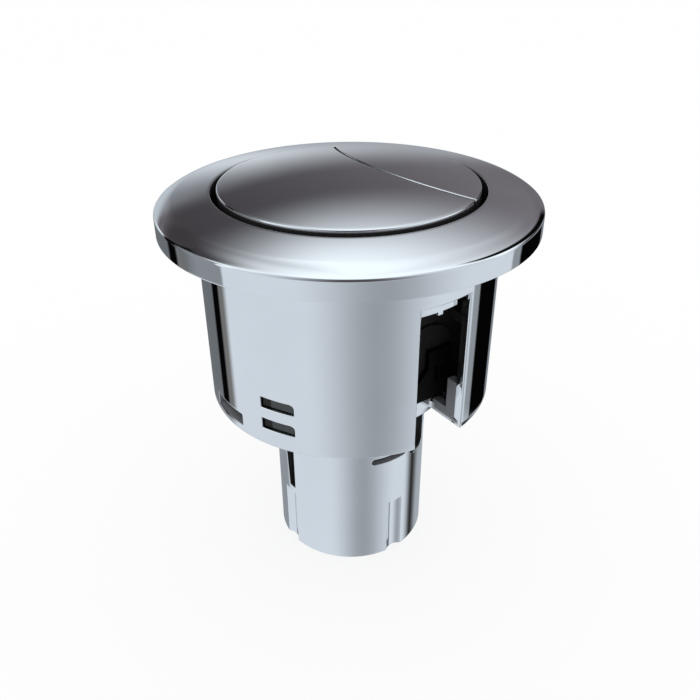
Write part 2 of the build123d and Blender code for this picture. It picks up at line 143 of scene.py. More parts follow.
def wall_grid(openings, outer, inner, level, columns):
    """Outer and inner points of a round wall, rows by columns, and the cells that are solid.

    Each edge of a hole owns a column, at the hole's angle plus the arc sine of the edge's
    distance over the radius, so that the sides of the hole are parallel. The columns between
    two edges are spread evenly. A point is radius times cosine and sine of its angle.
    """
    middle = np.repeat(np.radians([(o["angle"] + 45) % 360 - 45 for o in openings]), 2)
    least = np.repeat([o["least_radius"] for o in openings], 2)
    sides = [o[side] for o in openings for side in ("west", "east")]
    levels = [o["levels"] for o in openings for side in ("west", "east")]
    reach = np.stack([np.interp(level, z, side) for z, side in zip(levels, sides)], axis=1)
    edges = [middle + np.arcsin(reach / np.maximum(path[:, :1], least)) for path in (outer, inner)]
    order = np.argsort(edges[0].mean(axis=0))
    rank = np.arange(len(order))
    home = np.round(edges[0].mean(axis=0)[order] / (2 * pi) * columns).astype(int)
    home = np.maximum.accumulate(home - rank) + rank
    column = home[0] + np.arange(columns)
    stops = np.append(home, home[0] + columns)
    left = np.searchsorted(stops, column, side="right") - 1
    share = (column - stops[left]) / (stops[left + 1] - stops[left])
    grids = []
    for path, edge in zip((outer, inner), edges):
        ring = np.column_stack([edge[:, order], edge[:, order[:1]] + 2 * pi])
        angle = ring[:, left] * (1 - share) + ring[:, left + 1] * share
        radius = path[:, :1]
        height = np.broadcast_to(path[:, 1:], angle.shape)
        grids.append(np.stack([radius * np.cos(angle), radius * np.sin(angle), height], axis=-1))
    owned = np.empty(len(order), int)
    owned[order] = home - home[0]
    between = (level[:-1] + level[1:]) / 2
    solid = np.ones((len(level) - 1, columns), bool)
    for hole, (west, east) in zip(openings, owned.reshape(-1, 2)):
        for bottom, top in hole["spans"]:
            solid[(between > bottom) & (between < top), west:east] = False
    return grids[0], grids[1], solid


def unit(vectors):
    """Vectors drawn out to length 1. Those without length stay as they are."""
    length = np.linalg.norm(vectors, axis=-1, keepdims=True)
    return vectors / np.where(length > 0, length, 1)


def pierced_shell(outer, inner, solid, edge_round=0.0, recess_plating_and_shade=1.0, inner_plating_and_shade=0.0):
    """Points, quads and plating shares of a wall with holes: outer skin, inner skin and the edges between.
    Shares under 1 on the strips into the wall and on the inner skin paint shade there.

    Where solid meets open, the outer skin turns into the wall by a quarter round. A point p of the
    edge becomes p + r m (1 - sin t) + r d (1 - cos t), where r is the round, m points square to the
    edge into the solid (mitred at corners), d points through the wall and t runs to a right angle.
    """
    rows, columns = outer.shape[:2]
    along = np.roll(outer, -1, axis=1) - outer
    upward = outer[1:] - outer[:-1]
    facing = unit(np.cross(along + np.roll(along, 1, axis=1), np.gradient(outer, axis=0)))
    nothing = np.zeros((1, columns), int)
    filled = np.vstack([nothing, solid, nothing])
    row_side = np.diff(filled, axis=0)
    column_side = filled[1:-1] - np.roll(filled[1:-1], 1, axis=1)
    row_normal = row_side[..., None] * unit(np.cross(facing, along))
    column_normal = column_side[..., None] * unit(np.cross(upward, facing[:-1]))
    mitre = row_normal + np.roll(row_normal, 1, axis=1)
    mitre[:-1] += column_normal
    mitre[1:] += column_normal
    square = (mitre**2).sum(axis=-1, keepdims=True)
    mitre = 2 * mitre / np.where(square > 0, square, 1)
    turn = np.linspace(0, pi / 2, 6 if np.any(edge_round) else 1)[:, None, None, None]
    radius = np.broadcast_to(edge_round, (rows, columns))[..., None]
    layers = outer + radius * (mitre * (1 - np.sin(turn)) + unit(inner - outer) * (1 - np.cos(turn)))
    layers = np.concatenate([layers, inner[None]])
    index = np.arange(layers[..., 0].size).reshape(-1, rows, columns)
    beside = np.roll(index, -1, axis=2)
    a, b, c, d = index[:, :-1], beside[:, :-1], beside[:, 1:], index[:, 1:]
    strips = (
        ((a[:-1], a[1:], b[1:], b[:-1]), row_side[:-1] > 0),
        ((d[:-1], c[:-1], c[1:], d[1:]), row_side[1:] < 0),
        ((a[:-1], d[:-1], d[1:], a[1:]), column_side > 0),
        ((b[:-1], b[1:], c[1:], c[:-1]), np.roll(column_side, -1, axis=1) < 0),
    )
    outer_skin = np.stack([a[0], b[0], c[0], d[0]], axis=-1)[solid]
    inner_skin = np.stack([d[-1], c[-1], b[-1], a[-1]], axis=-1)[solid]
    edges = [np.stack(corners, axis=-1)[:, cells].reshape(-1, 4) for corners, cells in strips]
    # Shares of plating. Under 1 they paint shade on the strips into the wall and on the inner skin.
    plating_and_shade = np.ones(index.shape)
    plating_and_shade[-2] = recess_plating_and_shade
    plating_and_shade[-1] = inner_plating_and_shade
    used, quads = np.unique(np.concatenate([outer_skin, inner_skin, *edges]), return_inverse=True)
    return layers.reshape(-1, 3)[used], quads.reshape(-1, 4), plating_and_shade.ravel()[used]


def straight_bars(profile, start, end):
    """Points and faces of a closed profile in X and Z carried straight along Y."""
    count = len(profile)
    ends = np.repeat([start, end], count)
    points = np.column_stack([np.tile(profile[:, 0], 2), ends, np.tile(profile[:, 1], 2)])
    corner = np.arange(count)
    following = np.roll(corner, -1)
    sides = np.column_stack([corner, following, following + count, corner + count])
    return points, [sides, corner[None, ::-1], corner[None] + count]


def make_piece(name, points, faces, finish, sharp_degrees=32, plating_and_shade=None):
    """An object from points in millimetres and arrays of faces, smooth but for its sharp edges."""
    mesh = bpy.data.meshes.new(name)
    corners = np.concatenate([face.ravel() for face in faces]).astype(np.int32)
    counts = np.concatenate([np.full(len(face), face.shape[1]) for face in faces])
    starts = (np.cumsum(counts) - counts).astype(np.int32)
    mesh.vertices.add(len(points))
    mesh.vertices.foreach_set("co", (points * mm).astype(np.float32).ravel())
    mesh.loops.add(len(corners))
    mesh.loops.foreach_set("vertex_index", corners)
    mesh.polygons.add(len(starts))
    mesh.polygons.foreach_set("loop_start", starts)
    mesh.update(calc_edges=True)
    mesh.shade_smooth()
    mesh.set_sharp_from_angle(angle=radians(sharp_degrees))
    mesh.materials.append(finish)
    # Each point's share of plating. Under 1 the chrome is painted dull grey and near black as shade.
    if plating_and_shade is not None:
        shares = mesh.attributes.new("plating_and_shade", "FLOAT", "POINT").data
        shares.foreach_set("value", plating_and_shade.astype(np.float32))
    piece = bpy.data.objects.new(name, mesh)
    bpy.context.scene.collection.objects.link(piece)
    return piece


def soften_edges(piece, width):
    """A narrow round on every sharp edge, as the plating leaves it."""
    bevel = piece.modifiers.new("plated_edge", "BEVEL")
    bevel.width = width * mm
    bevel.segments = 3
    bevel.limit_method = "ANGLE"
    bevel.angle_limit = radians(40)
    bevel.use_clamp_overlap = False


def feed(tree, socket, value):
    """Gives a node's socket a value: another socket is linked to it, anything else is a constant."""
    if isinstance(value, bpy.types.NodeSocket):
        tree.links.new(value, socket)
    else:
        socket.default_value = value


def ramp_node(tree, value, start, end, interpolation="LINEAR", low=0.0, high=1.0):
    """The result of a Map Range node, which carries start to end over to low to high."""
    node = tree.nodes.new("ShaderNodeMapRange")
    node.interpolation_type = interpolation
    labels = ("Value", "From Min", "From Max", "To Min", "To Max")
    for label, given in zip(labels, (value, start, end, low, high)):
        feed(tree, node.inputs[label], given)
    return node.outputs["Result"]


def mix_node(tree, kind, factor, first, second):
    """The result of a Mix node on colours (RGBA) or numbers (FLOAT)."""
    node = tree.nodes.new("ShaderNodeMix")
    node.data_type = kind
    for label, given in zip(("Factor", "A", "B"), (factor, first, second)):
        feed(tree, node.inputs[label], given)
    return node.outputs["Result"]


def surface_drift_group():
    """Node group: slow patches that shift colour and roughness, and a fine grain as a height."""
    group = bpy.data.node_groups.new("surface_drift", "ShaderNodeTree")
    sockets = (
        ("INPUT", "Vector", ("Vector",)),
        ("INPUT", "Color", ("Dark Colour", "Light Colour")),
        ("INPUT", "Float", ("Patch Scale", "Grain Scale", "Least Roughness", "Most Roughness")),
        ("OUTPUT", "Color", ("Colour",)),
        ("OUTPUT", "Float", ("Roughness", "Grain")),
    )
    for way, kind, labels in sockets:
        for label in labels:
            group.interface.new_socket(label, in_out=way, socket_type=f"NodeSocket{kind}")
    entry = group.nodes.new("NodeGroupInput").outputs
    leave = group.nodes.new("NodeGroupOutput").inputs
    fields = []
    for scale, detail, roughness in (("Patch Scale", 4, 0.55), ("Grain Scale", 3, 0.5)):
        noise = group.nodes.new("ShaderNodeTexNoise")
        labels = ("Vector", "Scale", "Detail", "Roughness")
        for label, given in zip(labels, (entry["Vector"], entry[scale], detail, roughness)):
            feed(group, noise.inputs[label], given)
        fields.append(noise.outputs["Fac"])
    patch = ramp_node(group, fields[0], 0.3, 0.7)
    colour = mix_node(group, "RGBA", patch, entry["Dark Colour"], entry["Light Colour"])
    gloss = ramp_node(group, patch, 0, 1, low=entry["Least Roughness"], high=entry["Most Roughness"])
    for label, given in zip(("Colour", "Roughness", "Grain"), (colour, gloss, fields[1])):
        feed(group, leave[label], given)
    return group


surface_drift = surface_drift_group()


def drifting_finish(name, patch, grain, dark, light, least, most, bump_depth, metallic=0.0, specular=0.5):
    """A Principled material fed by the drift group, with its grain raised by a depth in metres."""
    finish = bpy.data.materials.new(name)
    finish.use_nodes = True
    tree = finish.node_tree
    shader = tree.nodes["Principled BSDF"].inputs
    place = tree.nodes.new("ShaderNodeTexCoord")
    drift = tree.nodes.new("ShaderNodeGroup")
    drift.name = "drift"
    drift.node_tree = surface_drift
    relief = tree.nodes.new("ShaderNodeBump")
    relief.name = "relief"
    settings = (
        (drift.inputs["Vector"], place.outputs["Object"]),
        (drift.inputs["Patch Scale"], patch),
        (drift.inputs["Grain Scale"], grain),
        (drift.inputs["Dark Colour"], (*dark, 1)),
        (drift.inputs["Light Colour"], (*light, 1)),
        (drift.inputs["Least Roughness"], least),
        (drift.inputs["Most Roughness"], most),
        (relief.inputs["Strength"], 1.0),
        (relief.inputs["Distance"], bump_depth),
        (relief.inputs["Height"], drift.outputs["Grain"]),
        (shader["Base Color"], drift.outputs["Colour"]),
        (shader["Roughness"], drift.outputs["Roughness"]),
        (shader["Normal"], relief.outputs["Normal"]),
        (shader["Metallic"], metallic),
        (shader["Specular IOR Level"], specular),
    )
    for socket, given in settings:
        feed(tree, socket, given)
    return finish


plating = drifting_finish(
    "chrome_plating",
    patch=60, grain=420, dark=(0.84, 0.845, 0.855), light=(0.885, 0.89, 0.90),
    least=0.02, most=0.045, bump_depth=6e-7,
)
tree = plating.node_tree
drift = tree.nodes["drift"].outputs
# Painted shade: where a piece's share of plating falls, the chrome turns a dull grey and then near black.
# This is partly thinner plating and partly painted shade in recesses and insides.
plating_and_shade_attribute = tree.nodes.new("ShaderNodeAttribute")
plating_and_shade_attribute.attribute_name = "plating_and_shade"
shade_greyness = ramp_node(tree, plating_and_shade_attribute.outputs["Fac"], 0.15, 0.45)
metal = ramp_node(tree, plating_and_shade_attribute.outputs["Fac"], 0.75, 0.95, "SMOOTHSTEP")
recess_shade_colour = mix_node(tree, "RGBA", shade_greyness, (0.016, 0.015, 0.015, 1), (0.19, 0.195, 0.21, 1))
skin_colour = mix_node(tree, "RGBA", metal, recess_shade_colour, drift["Colour"])
skin_gloss = mix_node(tree, "FLOAT", metal, 0.5, drift["Roughness"])
for label, given in zip(("Base Color", "Roughness", "Metallic"), (skin_colour, skin_gloss, metal)):
    feed(tree, tree.nodes["Principled BSDF"].inputs[label], given)

windows = [
    above_each_other(*(
        opening(angle, window_width, *span, east_rounds=(0, window_round), least_radius=housing_bore)
        for span in window_spans
    ))
    for angle in (-window_turn, 180 - window_turn)
]
drains = [
    opening(angle, drain_width, floor_top, drain_top, least_radius=housing_bore) for angle in (-90, 90)
]
notch_start = housing_bottom - (housing_radius - well_radius)
notch = opening(0, 2 * notch_half, notch_start, notch_top, least_radius=well_radius)
housing_holes = [notch, *windows, *drains]
housing_collars, collar_levels = zip(
    collar(notch, notch_margin), *(collar(hole, hole_margin) for hole in (*windows, *drains))
)

turn = np.linspace(0, pi / 2, 5)
edge_centre = housing_radius - housing_edge_round
floor_outer = np.array([floor_bore, 19.0, 19.6, 20.6, well_radius, 23.0, 25.0, 27.0])
floor_inner = np.array([
    (floor_bore, floor_top), (well_bore, floor_top), (well_bore, well_top), (well_radius, well_top),
    (well_radius, floor_top), (23.0, floor_top), (25.0, floor_top), (26.6, floor_top),
])
edge_outer = np.column_stack([
    edge_centre + housing_edge_round * np.sin(turn),
    housing_bottom + housing_edge_round * (1 - np.cos(turn)),
])
edge_inner = np.column_stack([np.linspace(26.9, 27.4, len(turn)), np.full(len(turn), floor_top)])
hole_levels = np.concatenate([hole["levels"] for hole in (*windows, *drains)])
plain_levels = [*np.linspace(-24.0, notch_top, 8), -4.0, -2.0, 0.0]
wall_levels = np.concatenate([hole_levels, *collar_levels, plain_levels])
wall_levels = np.unique(np.round(wall_levels[wall_levels > housing_bottom + housing_edge_round], 4))
housing_outer = np.concatenate([
    np.column_stack([floor_outer, np.full(len(floor_outer), housing_bottom)]),
    edge_outer,
    np.column_stack([np.full(len(wall_levels), housing_radius), wall_levels]),
])
housing_inner = np.concatenate([
    floor_inner,
    edge_inner,
    np.column_stack([np.full(len(wall_levels), housing_bore), wall_levels]),
])
housing_level = housing_outer[:, 1] - (housing_radius - housing_outer[:, 0])
outside, inside, solid = wall_grid(
    [*housing_holes, *housing_collars], housing_outer, housing_inner, housing_level, wall_columns
)
jamb_levels = (housing_bottom, housing_bottom + jamb_run_in, notch_top - jamb_run_out, notch_top)
jamb_rounds = (hole_round, jamb_round, jamb_round, hole_round)
tapered_round = np.interp(outside[..., 2], jamb_levels, jamb_rounds)
at_jamb = (np.abs(np.abs(outside[..., 1]) - notch_half) < 0.05) & (outside[..., 0] > housing_bore)
on_floor = (housing_inner[:, :1] > well_radius) & (housing_inner[:, :1] < housing_bore)
at_drain = (np.abs(outside[..., 0]) < 6) & (np.abs(outside[..., 2] - floor_top) < 3)
wall_round = np.where(at_jamb, tapered_round, np.where(at_drain, drain_round, hole_round))
# Drains and the floor inside are painted a dull grey as shade, partly thinner plating.
wall_points, wall_quads, wall_plating_and_shade = pierced_shell(
    outside,
    inside,
    solid,
    wall_round,
    np.where(at_drain, grey_plating_and_shade, 1.0),
    np.where(on_floor | at_drain, grey_plating_and_shade, 1.0),
)
housing = make_piece("housing_shell", wall_points, [wall_quads], plating, plating_and_shade=wall_plating_and_shade)
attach(housing, "casing")
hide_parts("housing")

lip_start = well_radius - 0.6
lip_end = housing_bore + 0.4
lip_foot = floor_top - 0.1
lip_profile = np.array([
    (lip_start, lip_foot), (lip_end, lip_foot), (lip_end, gusset_top),
    (gusset_start, gusset_top), (gusset_start, lip_top), (lip_start, lip_top),
])
lip_inside = notch_half + 0.02
for label, start, end in (("left", -lip_outside, -lip_inside), ("right", lip_inside, lip_outside)):
    lip_points, lip_faces = straight_bars(lip_profile, start, end)
    # The lips are painted a dull grey as painted shade low in the notch.
    lip_plating_and_shade_points = np.full(len(lip_points), lip_plating_and_shade)
    lip = make_piece(f"notch_lip_{label}", lip_points, lip_faces, plating, plating_and_shade=lip_plating_and_shade_points)
    soften_edges(lip, lip_edge_round)
    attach(lip, "casing")
    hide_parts("housing")


# Stem: the plated tube that takes the neck of the flush valve. It is dropped through the
# housing's floor until its flange lies in the well. Four round keyways run up from its lower end,
# and slots above them let its wall give. Its bore is painted near black as shade. The walls of
# its slits are painted a dull grey, partly thinner plating and partly painted shade.
stem_radius = 16.5
stem_bore = 14.7
socket_radius = 14.6
ledge_radius = 13.4
stem_bottom = -74.6
stem_flange_radius = 19.0
stem_flange_top = -32.7
keyway_top = -60.4
keyway_floor = 15.6
keyway_radius = 2.95
keyway_middle = keyway_floor + keyway_radius
keyway_mouth = (keyway_middle**2 + stem_radius**2 - keyway_radius**2) / (2 * keyway_middle)
keyway_half = np.sqrt(stem_radius**2 - keyway_mouth**2)
ledge_top = -58.9
tall_slot_top = -38.9
tall_slot_west = (-0.15, -1.65)
tall_slot_east = (1.8, 1.8)
slit_width = 8.6
slit_span = (-48.85, -47.35)
slit_round = 0.75
slit_turn = -5
port_width = 6.3
port_span = (-50.4, -41.0)
port_round = 1.5
port_turn = 26.01
stem_edge_round = 0.1
slot_margin = 0.3
# Shares of plating that paint the slits' walls a dull grey and the bore near black, as shade.
slit_plating_and_shade = 0.6
bore_plating_and_shade = 0.1

tall_span = (ledge_top, tall_slot_top)
tall_slots = [
    edge_run(angle, tall_span, tall_slot_west, tall_slot_east, [tall_span]) for angle in (-90, 90)
]
slit_rounds = (slit_round, slit_round)
slit_slots = [
    opening(angle, slit_width, *slit_span, slit_rounds, slit_rounds)
    for angle in (slit_turn, slit_turn + 180)
]
port_rounds = (port_round, port_round)
ports = [
    opening(angle, port_width, *port_span, port_rounds, port_rounds)
    for angle in (port_turn, port_turn + 180)
]
keyway_reach = np.full(2, keyway_half)
keyway_edges = [
    edge_run(angle, (stem_bottom, keyway_top), -keyway_reach, keyway_reach) for angle in (0, 90, 180, 270)
]
stem_slots = [*tall_slots, *slit_slots, *ports]
stem_collars, collar_levels = zip(*(collar(slot, slot_margin) for slot in stem_slots))

slot_levels = np.concatenate([*(slot["levels"] for slot in stem_slots), *collar_levels])
bore_levels = np.concatenate([slot_levels, [-55.0, -53.0, -45.0, -43.5, -37.0]])
bore_levels = np.unique(np.round(bore_levels, 4))
foot_levels = np.array([
    stem_bottom, stem_bottom + 0.3, -70.0, -65.0, keyway_top - 0.02, keyway_top, -59.6,
])
foot_outer = np.column_stack([np.full(len(foot_levels), stem_radius), foot_levels])
foot_bore = np.where(foot_levels < keyway_top, socket_radius, ledge_radius)
foot_inner = np.column_stack([foot_bore, foot_levels])
head_outer = np.array([
    (stem_radius, -35.5), (stem_radius, floor_top),
    (stem_flange_radius, floor_top), (stem_flange_radius, stem_flange_top),
])
head_inner = np.array([
    (stem_bore, -35.5), (stem_bore, -34.0), (stem_bore, -33.4), (stem_bore, stem_flange_top),
])
stem_outer = np.concatenate([
    foot_outer, np.column_stack([np.full(len(bore_levels), stem_radius), bore_levels]), head_outer,
])
stem_inner = np.concatenate([
    foot_inner, np.column_stack([np.full(len(bore_levels), stem_bore), bore_levels]), head_inner,
])
outside, inside, solid = wall_grid(
    [*stem_slots, *stem_collars, *keyway_edges], stem_outer, stem_inner, stem_outer[:, 1], wall_columns
)

# A keyway is a round flute: a point of its mouth keeps its place across, and its distance out from
# the axis becomes the flute's middle less sqrt(r^2 - across^2).
bearing = np.arctan2(outside[..., 1], outside[..., 0])
quarter = np.round(bearing / (pi / 2)) * (pi / 2)
across = stem_radius * np.sin(bearing - quarter)
out = keyway_middle - np.sqrt(np.clip(keyway_radius**2 - across**2, 0, None))
in_keyway = (np.abs(across) < keyway_half) & (outside[..., 2] < keyway_top)
flute_x = out * np.cos(quarter) - across * np.sin(quarter)
flute_y = out * np.sin(quarter) + across * np.cos(quarter)
outside[..., 0] = np.where(in_keyway, flute_x, outside[..., 0])
outside[..., 1] = np.where(in_keyway, flute_y, outside[..., 1])

slit_level = np.mean(slit_span)
slit_side = np.sin(bearing - radians(slit_turn))
at_slit = (np.abs(outside[..., 2] - slit_level) < 0.8) & (np.abs(slit_side) < 0.3)
# Painted shade: the bore near black and the slits' walls a dull grey.
stem_recess_plating_and_shade = np.where(at_slit, slit_plating_and_shade, bore_plating_and_shade)
stem_points, stem_quads, stem_plating_and_shade = pierced_shell(
    outside, inside, solid, stem_edge_round, stem_recess_plating_and_shade, stem_recess_plating_and_shade
)
stem = make_piece("stem_tube", stem_points, [stem_quads], plating, plating_and_shade=stem_plating_and_shade)
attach(stem, "casing")
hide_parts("stem")


# Washer, hub, guide and cover: a rubber ring on the stem's flange, the bell-shaped hub that presses
# on it, the guide whose deck holds the hub down, and the plate that closes the notch behind. All but
# the ring are moulded in black, finely grained plastic; the guide's tongues snap into the windows.
# The cover's block is painted darker than its plate as shade. The outer faces of the tongues
# carry a painted sheen, but for a strip along one side.
washer_rubber = drifting_finish(
    "washer_rubber",
    patch=150, grain=2600, dark=(0.016, 0.016, 0.017), light=(0.034, 0.033, 0.032),
    least=0.62, most=0.82, bump_depth=3e-5,
)
black_moulding = drifting_finish(
    "black_moulding",
    patch=110, grain=3200, dark=(0.011, 0.0105, 0.0105), light=(0.021, 0.020, 0.020),
    least=0.34, most=0.52, bump_depth=1.2e-5, specular=0.2,
)
cover_moulding = drifting_finish(
    "cover_moulding",
    patch=110, grain=3200, dark=(0.0115, 0.010, 0.0105), light=(0.0175, 0.0155, 0.016),
    least=0.5, most=0.62, bump_depth=1.2e-5, specular=0.06,
)
guide_moulding = drifting_finish(
    "guide_moulding",
    patch=110, grain=3200, dark=(0.011, 0.0105, 0.0105), light=(0.021, 0.020, 0.020),
    least=0.34, most=0.52, bump_depth=1.2e-5, specular=0.1,
)
# Where the painted shade on the cover's block and the painted sheen on the guide's tongues begin.
block_face = 21.77
block_soft = 0.05
tongue_face = 26.9
tongue_sheen_edge = -1.5


def math_node(tree, operation, *values):
    """The result of a Math node on sockets or plain numbers."""
    node = tree.nodes.new("ShaderNodeMath")
    node.operation = operation
    for socket, given in zip(node.inputs, values):
        feed(tree, socket, given)
    return node.outputs[0]


def turned_place(tree, degrees):
    """X, Y and Z of the place on a piece, in a frame turned about the piece's axis."""
    turned = tree.nodes.new("ShaderNodeMapping")
    turned.inputs["Rotation"].default_value = (0, 0, radians(degrees))
    feed(tree, turned.inputs["Vector"], tree.nodes["Texture Coordinate"].outputs["Object"])
    parts = tree.nodes.new("ShaderNodeSeparateXYZ")
    feed(tree, parts.inputs["Vector"], turned.outputs["Vector"])
    return parts.outputs


def paint_over(tree, mask, colour):
    """Lays one colour over a drifting finish where a mask is 1."""
    painted = mix_node(tree, "RGBA", mask, tree.nodes["drift"].outputs["Colour"], (*colour, 1))
    feed(tree, tree.nodes["Principled BSDF"].inputs["Base Color"], painted)


def finish_piece(node, finish):
    """Gives a CAD piece its finish. Its mesh and its place stay as they are."""
    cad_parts[node].material_slots[0].material = finish


# Painted shade: the cover's block is painted darker than the plate around it.
tree = cover_moulding.node_tree
depth = turned_place(tree, 0)["X"]
shaded_block = ramp_node(tree, depth, (block_face - block_soft) * mm, (block_face + block_soft) * mm)
paint_over(tree, shaded_block, (0.0025, 0.0022, 0.0024))

# Painted sheen: the outer faces of the tongues in the windows are painted a lighter grey as a reflection,
# but for a strip along one side.
tree = guide_moulding.node_tree
place = turned_place(tree, window_turn)
depth = place["X"]
side = math_node(tree, "MULTIPLY", place["Y"], math_node(tree, "SIGN", depth))
facing_out = math_node(tree, "GREATER_THAN", math_node(tree, "ABSOLUTE", depth), tongue_face * mm)
past_edge = math_node(tree, "GREATER_THAN", side, tongue_sheen_edge * mm)
paint_over(tree, math_node(tree, "MULTIPLY", facing_out, past_edge), (0.062, 0.068, 0.070))

finish_piece("stem_washer", washer_rubber)
finish_piece("guide_hub", black_moulding)
finish_piece("button_guide", guide_moulding)
finish_piece("notch_cover", cover_moulding)


# Screws: four zinc-plated self-tapping screws, driven through the housing's floor into the
# guide's bosses. They clamp guide, hub, washer and stem to the floor.
zinc_steel = drifting_finish(
    "zinc_plated_steel",
    patch=380, grain=1500, dark=(0.42, 0.43, 0.45), light=(0.60, 0.60, 0.59),
    least=0.22, most=0.42, bump_depth=4e-6, metallic=1.0,
)
finish_piece("floor_screws", zinc_steel)


# Stop pads: four rubber studs pushed onto the guide's deck. The sliders land on them at the
# end of their stroke.
pad_rubber = drifting_finish(
    "pad_rubber",
    patch=240, grain=3000, dark=(0.020, 0.019, 0.018), light=(0.040, 0.039, 0.037),
    least=0.6, most=0.85, bump_depth=2.5e-5,
)
finish_piece("stop_pads", pad_rubber)


# Return springs: spring-steel wire coiled round each slider's post, between the guide's deck
# and the slider's plate. Their ends are closed. On the real part they shorten as the button goes
# down; here each coil is built at one length and rides with the casing.
spring_radius = 4.0
spring_wire = 0.7
spring_foot = -13.0
spring_head = -2.6
spring_turns = 6.5
post_offset = 10.0


def capped_tube(rings, first_pole, last_pole):
    """Points and faces of rows of rings that close on themselves, with a fan at each end."""
    rows, columns = rings.shape[:2]
    near = np.arange(rows * columns).reshape(rows, columns)
    after = np.roll(near, -1, axis=1)
    quads = np.stack([near[:-1], after[:-1], after[1:], near[1:]], axis=-1).reshape(-1, 4)
    start = np.full(columns, rows * columns)
    first_fan = np.stack([start, after[0], near[0]], axis=-1)
    last_fan = np.stack([start + 1, near[-1], after[-1]], axis=-1)
    points = np.concatenate([rings.reshape(-1, 3), [first_pole, last_pole]])
    return points, [quads, first_fan, last_fan]


def coil(middle_y):
    """A round wire along a helix whose pitch falls to one wire at both ends.

    The path is radius times cosine and sine of the turn, at a height that climbs evenly between
    the closed ends. Each ring is the wire's circle in the plane square to the path.
    """
    along = np.linspace(0, 1, 561)
    turn = along * 2 * pi * spring_turns
    closed = 1 / spring_turns
    climb = np.clip((along - closed) / (1 - 2 * closed), 0, 1)
    low = spring_foot + spring_wire / 2 + 0.05
    high = spring_head - spring_wire / 2 - 0.05
    lay = spring_wire * 1.02
    ends = np.clip(along / closed, 0, 1) + np.clip((along - 1 + closed) / closed, 0, 1)
    height = low + lay * ends + (high - low - 2 * lay) * climb
    outward = np.column_stack([np.cos(turn), np.sin(turn), np.zeros_like(turn)])
    path = spring_radius * outward + (0, middle_y, 0)
    path[:, 2] = height
    upward = unit(np.cross(unit(np.gradient(path, axis=0)), outward))
    round_wire = np.linspace(0, 2 * pi, 16, endpoint=False)[:, None]
    ring = np.cos(round_wire) * outward[:, None] + np.sin(round_wire) * upward[:, None]
    return capped_tube(path[:, None] + spring_wire / 2 * ring, path[0], path[-1])


spring_steel = drifting_finish(
    "spring_steel",
    patch=500, grain=2200, dark=(0.36, 0.35, 0.34), light=(0.56, 0.55, 0.53),
    least=0.2, most=0.38, bump_depth=3e-6, metallic=1.0,
)
for side, middle_y in (("full", -post_offset), ("half", post_offset)):
    spring_points, spring_faces = coil(middle_y)
    spring = make_piece(f"{side}_flush_coil", spring_points, spring_faces, spring_steel)
    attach(spring, "casing")
    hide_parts(f"{side}_flush_spring")
    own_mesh(spring)


# Sliders, clips, rods and feet: each button stands on a black moulded slider whose post and
# blades run in the guide. A sprung steel clip under the deck stops it at the top, and a push rod
# with a soft foot, pressed into the post, reaches down the stem to the flush valve.
clip_steel = drifting_finish(
    "clip_steel",
    patch=420, grain=1800, dark=(0.40, 0.40, 0.41), light=(0.57, 0.57, 0.56),
    least=0.24, most=0.4, bump_depth=3e-6, metallic=1.0,
)
foot_rubber = drifting_finish(
    "foot_rubber",
    patch=260, grain=2800, dark=(0.024, 0.023, 0.022), light=(0.046, 0.044, 0.042),
    least=0.58, most=0.8, bump_depth=2.5e-5,
)
for side in ("full_flush", "half_flush"):
    finish_piece(f"{side}_slider", black_moulding)
    finish_piece(f"{side}_rod", black_moulding)
    finish_piece(f"{side}_clip", clip_steel)
    finish_piece(f"{side}_rod_foot", foot_rubber)


# Gasket: a ring of closed-cell foam, stuck into the groove under the flange. It seals against
# the lid.
gasket_foam = drifting_finish(
    "gasket_foam",
    patch=300, grain=1400, dark=(0.030, 0.030, 0.031), light=(0.062, 0.061, 0.060),
    least=0.8, most=0.95, bump_depth=6e-5,
)
tree = gasket_foam.node_tree
cells = tree.nodes.new("ShaderNodeTexVoronoi")
cells.inputs["Scale"].default_value = 2200
feed(tree, cells.inputs["Vector"], tree.nodes["Texture Coordinate"].outputs["Object"])
feed(tree, tree.nodes["relief"].inputs["Height"], cells.outputs["Distance"])
finish_piece("flange_gasket", gasket_foam)


# Bezel: the domed, chrome-plated flange that lies on the lid. The sleeve below it is slit into
# fingers that plug into the housing, and a small key at the notch sets its angle. The inside of
# its throat and sleeve is painted near black as shade.
flange_radius = 36.5
throat_radius = 26.0
throat_height = 6.45
sleeve_radius = 27.2
sleeve_bottom = -9.1
key_bottom = -9.75
key_width = 1.1
finger_gap = 3.2
finger_gap_top = -5.1
finger_gap_turn = 12.1
fingers = 8
bezel_columns = 600
groove_inside = 30.3
groove_outside = 35.0
groove_top = 2.0
crown_width = 3.5
band_drop = 1.07
band_sagitta = 0.045
rim_height = 3.78
rim_round = 0.7
foot_round = 0.08
throat_round = 0.2


def arc(centre, radius, falls):
    """A round in the profile by the fall of its surface: centre plus radius times sine and cosine."""
    return np.asarray(centre) + radius * np.column_stack([np.sin(falls), np.cos(falls)])


